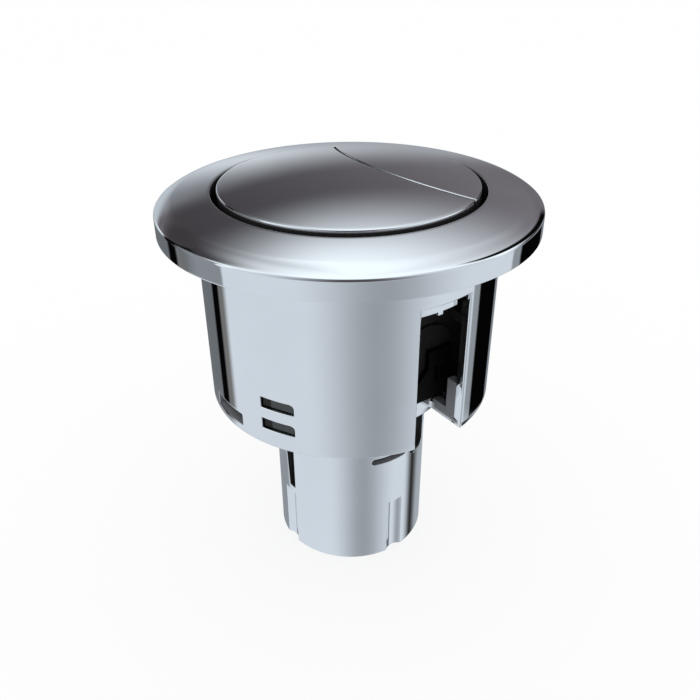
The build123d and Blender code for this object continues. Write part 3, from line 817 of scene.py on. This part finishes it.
def bezel_top():
    """Profile of the flange from the side of its rim over the crown and the band to the throat.

    The band is an arc with a given rise over its chord. The crown carries on from it without a
    kink and ends at the rim, and a round at each end leads into the rim's side and the throat.
    """
    crown_edge = np.array([flange_radius - crown_width, throat_height - band_drop])
    band = crown_edge - (throat_radius, throat_height)
    chord = np.hypot(*band)
    band_curve = chord**2 / (8 * band_sagitta) + band_sagitta / 2
    half_turn = np.arcsin(chord / 2 / band_curve)
    throat_fall = np.arctan2(-band[1], band[0]) - half_turn
    crown_fall = throat_fall + 2 * half_turn
    crown = (flange_radius, rim_height) - crown_edge
    crown_curve = np.hypot(*crown) / 2 / np.sin(np.arctan2(-crown[1], crown[0]) - crown_fall)
    square = np.array([np.sin(crown_fall), np.cos(crown_fall)])
    crown_centre = crown_edge - crown_curve * square
    rim_out = flange_radius - rim_round - crown_centre[0]
    rim_up = np.sqrt((crown_curve - rim_round) ** 2 - rim_out**2)
    rim_fall = np.arctan2(rim_out, rim_up)
    throat_level = throat_height - throat_round * (np.tan(throat_fall) + 1 / np.cos(throat_fall))
    throat_centre = (throat_radius + throat_round, throat_level)
    band_end = throat_fall + throat_round * (1 + np.sin(throat_fall)) / band_curve
    return np.concatenate([
        arc(crown_centre + (rim_out, rim_up), rim_round, np.linspace(pi / 2, rim_fall, 16)),
        arc(crown_centre, crown_curve, np.linspace(rim_fall, crown_fall, 26)[1:]),
        arc(crown_edge - band_curve * square, band_curve, np.linspace(crown_fall, band_end, 14)[1:]),
        arc(throat_centre, throat_round, np.linspace(throat_fall, -pi / 2, 7)[1:]),
    ])


finger_gaps = [
    opening(finger_gap_turn + 360 / fingers * k, finger_gap, sleeve_bottom, finger_gap_top)
    for k in range(fingers)
]
key_reach = np.full(2, key_width / 2)
key_sides = edge_run(0, (key_bottom, sleeve_bottom), -key_reach, key_reach)
sleeve_levels = np.array([key_bottom, sleeve_bottom, -7.0, finger_gap_top, -2.5, 0.0])
sleeve_outer = np.column_stack([np.full(len(sleeve_levels), sleeve_radius), sleeve_levels])
groove = np.array([
    (groove_inside, 0.0), (groove_inside, groove_top), (groove_outside, groove_top), (groove_outside, 0.0),
])
rim_foot = arc((flange_radius - foot_round, foot_round), foot_round, np.linspace(pi, pi / 2, 6))
rim_side = [(flange_radius, 0.2), (flange_radius, 1.6)]
bezel_outer = np.concatenate([sleeve_outer, groove, rim_foot, rim_side, bezel_top()])
throat_levels = np.linspace(-2.5, throat_height - throat_round - 0.1, len(bezel_outer) - 4)
throat_levels = np.concatenate([sleeve_levels[:4], throat_levels])
bezel_inner = np.column_stack([np.full(len(bezel_outer), throat_radius), throat_levels])
bezel_level = np.concatenate([sleeve_levels, np.arange(1, len(bezel_outer) - 5)])
outside, inside, solid = wall_grid(
    [key_sides, *finger_gaps], bezel_outer, bezel_inner, bezel_level, bezel_columns
)
key_columns = np.abs(np.arctan2(outside[0, :, 1], outside[0, :, 0])) * sleeve_radius
key_middle = (key_columns + np.roll(key_columns, -1)) / 2
solid[0] = key_middle < key_width / 2
# The inner skin gets no plating share. It is painted near black as shade in the throat.
bezel_points, bezel_quads, bezel_plating_and_shade = pierced_shell(outside, inside, solid)
bezel = make_piece("bezel_flange", bezel_points, [bezel_quads], plating, plating_and_shade=bezel_plating_and_shade)
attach(bezel, "casing")
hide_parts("bezel")


# Buttons: one low dome in plated ABS, split along an arc into the large full-flush cap and the
# small half-flush cap. Each cap is a hollow shell pressed over the rib of its slider. Their
# skirts and hollows are painted near black as shade in the gap.
button_radius = 24.8
dome_radius = 178.6206
dome_centre = 8.8 - dome_radius
split_centre = 47.5
split_radius = 42.0
split_half_gap = 0.3
corner_round = 0.5
rim_edge_round = 0.22
split_edge_round = 0.15
skirt_bottom = -1.0
skirt_chamfer_in = 0.15
skirt_chamfer_up = 0.1
cap_wall = 1.5
cap_thickness = 1.6


def cap_outline(side):
    """Points of a cap's edge in plan, anticlockwise, with their outward normals and edge rounds.

    The edge is a run along the round of the dome, a run along the split and a small round at
    each tip. A tip's round has its centre where circles offset from both runs cross. Each
    point is a centre plus radius times cosine and sine, and side is -1 for the full cap.
    """
    split = split_radius - side * split_half_gap
    reach = button_radius - corner_round
    away = split - side * corner_round
    tip_y = (reach**2 - away**2 + split_centre**2) / (2 * split_centre)
    tip_x = np.sqrt(reach**2 - tip_y**2)
    rim_angle = np.arctan2(tip_y, tip_x)
    split_angle = np.arctan2(tip_y - split_centre, tip_x)
    inward = split_angle if side > 0 else split_angle + pi
    near, far = (tip_x, tip_y), (-tip_x, tip_y)
    rim, gap = rim_edge_round, split_edge_round
    if side < 0:
        runs = (
            ((0, 0), button_radius, -pi - rim_angle, rim_angle, 560, 1, rim, rim),
            (near, corner_round, rim_angle, inward, 18, 1, rim, gap),
            ((0, split_centre), split, split_angle, -pi - split_angle, 260, -1, gap, gap),
            (far, corner_round, pi - inward, pi - rim_angle, 18, 1, gap, rim),
        )
    else:
        runs = (
            ((0, 0), button_radius, rim_angle, pi - rim_angle, 300, 1, rim, rim),
            (far, corner_round, pi - rim_angle, pi - inward, 18, 1, rim, gap),
            ((0, split_centre), split, -pi - split_angle, split_angle, 260, 1, gap, gap),
            (near, corner_round, inward, rim_angle, 18, 1, gap, rim),
        )
    points = []
    normals = []
    rounds = []
    for centre, radius, start, end, count, bulge, first_round, last_round in runs:
        angle = np.linspace(start, end, count)[:-1]
        ray = np.column_stack([np.cos(angle), np.sin(angle)])
        points.append(np.array(centre) + radius * ray)
        normals.append(bulge * ray)
        rounds.append(np.linspace(first_round, last_round, count)[:-1])
    return np.concatenate(points), np.concatenate(normals), np.concatenate(rounds)


def dome_height(plan, radius):
    """Height of the dome over points in plan: its centre's height plus sqrt(r^2 - x^2 - y^2)."""
    return dome_centre + np.sqrt(radius**2 - (plan**2).sum(axis=-1))


def button_cap(side, heart):
    """Points, faces and plating of a cap: its hollow, inner wall, skirt, edge and dome, ring by ring.

    A ring is the edge moved inwards by an inset and then drawn towards the heart by a share.
    Over the dome's edge the inset follows a quarter round, so height falls by r - r sin(turn).
    Only the edge and the dome are chrome. The hollow, inner wall and skirt are painted near black as
    shade.
    """
    edge, normal, edge_round = cap_outline(side)
    turn = np.linspace(0, pi / 2, 9)
    hollow_shares = np.linspace(0.96, 0, 9)
    dome_shares = np.concatenate([np.linspace(0, 0.96, 33)[1:], [0.985]])
    rings = []
    inner_edge = edge - cap_wall * normal
    hollow = heart + (1 - hollow_shares)[:, None, None] * (inner_edge - heart)
    rings.append(np.dstack([hollow, dome_height(hollow, dome_radius - cap_thickness)]))
    ceiling = rings[0][-1, :, 2]
    fall = np.array([0.35, 0.7, 1.0])[:, None]
    inner_wall = np.broadcast_to(inner_edge, (3, *inner_edge.shape))
    rings.append(np.dstack([inner_wall, ceiling + fall * (skirt_bottom - ceiling)]))
    rims = edge - np.array([0.9, skirt_chamfer_in])[:, None, None] * normal
    rings.append(np.dstack([rims, np.full(rims.shape[:2], skirt_bottom)]))
    shoulder = dome_height(edge, dome_radius) - edge_round
    rise = np.array([0.0, 0.02, 0.35, 0.7, 0.95])[:, None]
    skirt = np.broadcast_to(edge, (5, *edge.shape))
    foot = skirt_bottom + skirt_chamfer_up
    rings.append(np.dstack([skirt, foot + rise * (shoulder - foot)]))
    inset = np.outer(1 - np.cos(turn), edge_round)
    rounded = edge - inset[..., None] * normal
    drop = np.outer(1 - np.sin(turn), edge_round)
    rings.append(np.dstack([rounded, dome_height(rounded, dome_radius) - drop]))
    top = heart + (1 - dome_shares)[:, None, None] * (rounded[-1] - heart)
    rings.append(np.dstack([top, dome_height(top, dome_radius)]))
    middle = np.array(heart)
    first_pole = (*middle, dome_height(middle, dome_radius - cap_thickness))
    last_pole = (*middle, dome_height(middle, dome_radius))
    points, faces = capped_tube(np.concatenate(rings), first_pole, last_pole)
    # The rings before the dome's edge are painted near black as shade.
    shaded_ring_points = sum(ring[..., 0].size for ring in rings[:4])
    chrome_not_shade = np.arange(len(points)) >= shaded_ring_points
    chrome_not_shade[-2] = False
    return points, faces, chrome_not_shade


for name, side, heart in (("full_flush", -1, (0.0, -8.0)), ("half_flush", 1, (0.0, 14.5))):
    cap_points, cap_faces, cap_plating_and_shade = button_cap(side, np.array(heart))
    cap = make_piece(f"{name}_cap", cap_points, cap_faces, plating, plating_and_shade=cap_plating_and_shade)
    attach(cap, name)
    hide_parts(f"{name}_button")


# Studio: a white floor under the stem and a soft white dome of light. What the chrome mirrors
# is a light tent with its panels: bright sides and top, a dark strip behind, and black flags.
floor_side = 6.0
floor_glow = 0.8
mirrored_share = 0.87
panel_numbers = ("Middle", "Half Width", "Side Soft", "Bottom", "Bottom Soft", "Top", "Top Soft", "Lean")
floor_corners = np.array([(-1, -1), (1, -1), (1, 1), (-1, 1)]) * floor_side / 2 / mm
floor_points = np.column_stack([floor_corners, np.full(4, stem_bottom - 0.02)])
floor_white = bpy.data.materials.new("studio_floor")
floor_white.use_nodes = True
tree = floor_white.node_tree
paper = tree.nodes["Principled BSDF"]
paper.inputs["Base Color"].default_value = (1, 1, 1, 1)
paper.inputs["Roughness"].default_value = 0.9
glow = tree.nodes.new("ShaderNodeEmission")
glow.inputs["Color"].default_value = (1, 1, 1, 1)
seen = tree.nodes.new("ShaderNodeLightPath")
blend = tree.nodes.new("ShaderNodeMixShader")
feed(tree, blend.inputs["Fac"], math_node(tree, "MULTIPLY", seen.outputs["Is Camera Ray"], floor_glow))
feed(tree, blend.inputs[1], paper.outputs[0])
feed(tree, blend.inputs[2], glow.outputs[0])
feed(tree, tree.nodes["Material Output"].inputs["Surface"], blend.outputs[0])
floor = make_piece("studio_floor", floor_points, [np.arange(4)[None]], floor_white)
floor.visible_glossy = False


def tent_panel_group():
    """Node group: lays one panel's colour over what is behind it, by azimuth and elevation in degrees.

    The panel spans half a width to both sides of its middle, and its heights lean with the
    distance from there. Each edge is a smooth step over twice its softness.
    """
    group = bpy.data.node_groups.new("tent_panel", "ShaderNodeTree")
    sockets = (
        ("INPUT", "Color", ("Behind", "Panel")),
        ("INPUT", "Float", ("Azimuth", "Elevation", *panel_numbers)),
        ("OUTPUT", "Color", ("Colour",)),
    )
    for way, kind, labels in sockets:
        for label in labels:
            group.interface.new_socket(label, in_out=way, socket_type=f"NodeSocket{kind}")
    entry = group.nodes.new("NodeGroupInput").outputs
    leave = group.nodes.new("NodeGroupOutput").inputs

    def edge(value, limit, soft, outer, inner):
        """A smooth step over an edge, from the outer to the inner end of its softness."""
        bounds = [math_node(group, side, entry[limit], entry[soft]) for side in (outer, inner)]
        return ramp_node(group, value, *bounds, "SMOOTHSTEP")

    turned = math_node(group, "SUBTRACT", entry["Azimuth"], entry["Middle"])
    aside = math_node(group, "WRAP", turned, 180, -180)
    lean = math_node(group, "MULTIPLY", entry["Lean"], aside)
    height = math_node(group, "SUBTRACT", entry["Elevation"], lean)
    within = edge(math_node(group, "ABSOLUTE", aside), "Half Width", "Side Soft", "ADD", "SUBTRACT")
    low = edge(height, "Bottom", "Bottom Soft", "SUBTRACT", "ADD")
    high = edge(height, "Top", "Top Soft", "ADD", "SUBTRACT")
    cover = math_node(group, "MULTIPLY", within, math_node(group, "MULTIPLY", low, high))
    feed(group, leave["Colour"], mix_node(group, "RGBA", cover, entry["Behind"], entry["Panel"]))
    return group


def light_of(level, tint=(1, 1, 1)):
    """Light that looks like a screen level of 0 to 255 once the plating has mirrored its share of it."""
    share = np.asarray(level) / 255
    linear = np.where(share < 0.04045, share / 12.92, ((share + 0.055) / 1.055) ** 2.4)
    return (*(float(linear) * np.array(tint) / mirrored_share), 1)


camera_turn = radians(54.4)
world = bpy.data.worlds.new("studio_tent")
bpy.context.scene.world = world
world.use_nodes = True
tree = world.node_tree
tree.nodes.clear()
ray = tree.nodes.new("ShaderNodeTexCoord")
facing = tree.nodes.new("ShaderNodeMapping")
facing.inputs["Rotation"].default_value = (0, 0, pi / 2 - camera_turn)
feed(tree, facing.inputs["Vector"], ray.outputs["Generated"])
parts = tree.nodes.new("ShaderNodeSeparateXYZ")
feed(tree, parts.inputs["Vector"], facing.outputs["Vector"])
around = math_node(tree, "ARCTAN2", parts.outputs["Y"], parts.outputs["X"])
azimuth = math_node(tree, "DEGREES", around)
elevation = math_node(tree, "DEGREES", math_node(tree, "ARCSINE", parts.outputs["Z"]))
cool = (0.91, 1.0, 1.09)
pearl = (0.915, 1.0, 1.06)
lilac = (1.02, 0.96, 1.07)
plum = (1.06, 0.95, 1.07)
tent_panels = (
    ("back_low", 180, 62, 12, -14, 5, 12, 6, 0, light_of(186, cool)),
    ("roof", 180, 190, 1, 1.3, 6, 100, 1, 0, light_of(254, pearl)),
    ("left_horizon", -152, 14, 6, -10, 4, 18, 5, 0, light_of(190, cool)),
    ("back_gap", 180, 75, 10, 6.8, 10.3, 35.3, 11.9, 0.29, light_of(68, lilac)),
    ("left_back", -122, 38.5, 16.7, 15.7, 3, 55.3, 35.4, -0.11, light_of(57.5, plum)),
    ("left_foot", -134, 18, 9, 11, 3.5, 20, 6, -0.2, light_of(96, plum)),
    ("right_back", 149, 31.4, 30, 6.6, 15, 45.3, 28.6, -0.54, light_of(112, lilac)),
    ("right_foot", 155, 12, 5, -12, 3, 12, 4, 0, light_of(104, lilac)),
    ("front_wall", 10, 78, 6, -8, 6, 66, 8, 0, light_of(208, cool)),
    ("camera_gap", 4, 33, 28, -10, 4, 56, 10, 0, light_of(74, lilac)),
    ("left_softbox", -78, 18, 8, 26, 4, 62, 8, 0, light_of(240, pearl)),
    ("left_side", -95, 18, 1.2, -25.25, 0.25, 28, 8, -0.043, light_of(136, cool)),
    ("left_shade", -112, 9, 9, -24.5, 0.25, 28, 8, -0.043, light_of(104, cool)),
    ("left_post", -117, 7, 2.5, -14, 3, 37, 4, 0, light_of(8)),
    ("right_edge", 127, 20, 3, 11, 4, 33, 2, -1.15, light_of(6)),
    ("front_dip", 20, 28, 28, -90, 1, -16, 4, 0, light_of(155, cool)),
    ("left_low_back", -147, 20, 1.5, -38, 6, -13, 3, 0, light_of(106, cool)),
    ("left_low_floor", -141, 23, 6, -90, 1, -37.5, 1.5, 0, light_of(142, cool)),
    ("left_low_shade", -114, 6, 4, -36.5, 1.5, -22, 3, 0, light_of(110)),
    ("left_low_flag", -122.5, 5.5, 1.5, -36.5, 1.5, -12, 3, 0, light_of(5)),
    ("right_low_side", 112, 5, 1.5, -36, 1.5, -8, 4, 0, light_of(142, cool)),
    ("right_low_floor", 140, 25, 12, -90, 1, -37, 1, 0, light_of(164, cool)),
    ("right_low_stripe", 115, 11, 11, -90, 1, -37, 1, 0, light_of(44)),
    ("right_low_back", 157, 9, 1.5, -36, 1.5, -18, 3, 0, light_of(125, cool)),
    ("right_low_flag", 132.5, 17, 1.2, -36.5, 1.5, -13, 4, 0, light_of(4)),
)
tent_panel = tent_panel_group()
colour = light_of(212, cool)
for name, *numbers, light in tent_panels:
    panel = tree.nodes.new("ShaderNodeGroup")
    panel.name = name
    panel.node_tree = tent_panel
    settings = dict(zip(panel_numbers, numbers))
    settings.update({"Behind": colour, "Panel": light, "Azimuth": azimuth, "Elevation": elevation})
    for label, given in settings.items():
        feed(tree, panel.inputs[label], given)
    colour = panel.outputs["Colour"]

tent = tree.nodes.new("ShaderNodeBackground")
feed(tree, tent.inputs["Color"], colour)
dome_light = tree.nodes.new("ShaderNodeBackground")
dome_light.inputs["Color"].default_value = (1, 1, 1, 1)
path = tree.nodes.new("ShaderNodeLightPath")
mirrored = tree.nodes.new("ShaderNodeMixShader")
feed(tree, mirrored.inputs["Fac"], path.outputs["Is Glossy Ray"])
feed(tree, mirrored.inputs[1], dome_light.outputs[0])
feed(tree, mirrored.inputs[2], tent.outputs[0])
world_output = tree.nodes.new("ShaderNodeOutputWorld")
feed(tree, world_output.inputs["Surface"], mirrored.outputs[0])

camera_distance = 0.1366
camera_height = 0.0518
camera_pitch = radians(30.927)
camera_roll = radians(-0.367)
camera_data = bpy.data.cameras.new("photo_camera")
camera_data.lens = 38.289
camera_data.sensor_width = 36.0
camera_data.clip_start = 0.005
camera = bpy.data.objects.new("photo_camera", camera_data)
camera_place = Matrix.Translation(
    (camera_distance * np.sin(camera_turn), -camera_distance * np.cos(camera_turn), camera_height)
)
camera_tilt = Matrix.Rotation(pi / 2 - camera_pitch, 4, "X") @ Matrix.Rotation(camera_roll, 4, "Z")
camera.matrix_world = camera_place @ Matrix.Rotation(camera_turn, 4, "Z") @ camera_tilt
bpy.context.scene.collection.objects.link(camera)
bpy.context.scene.camera = camera
bpy.context.scene.view_settings.view_transform = "Standard"
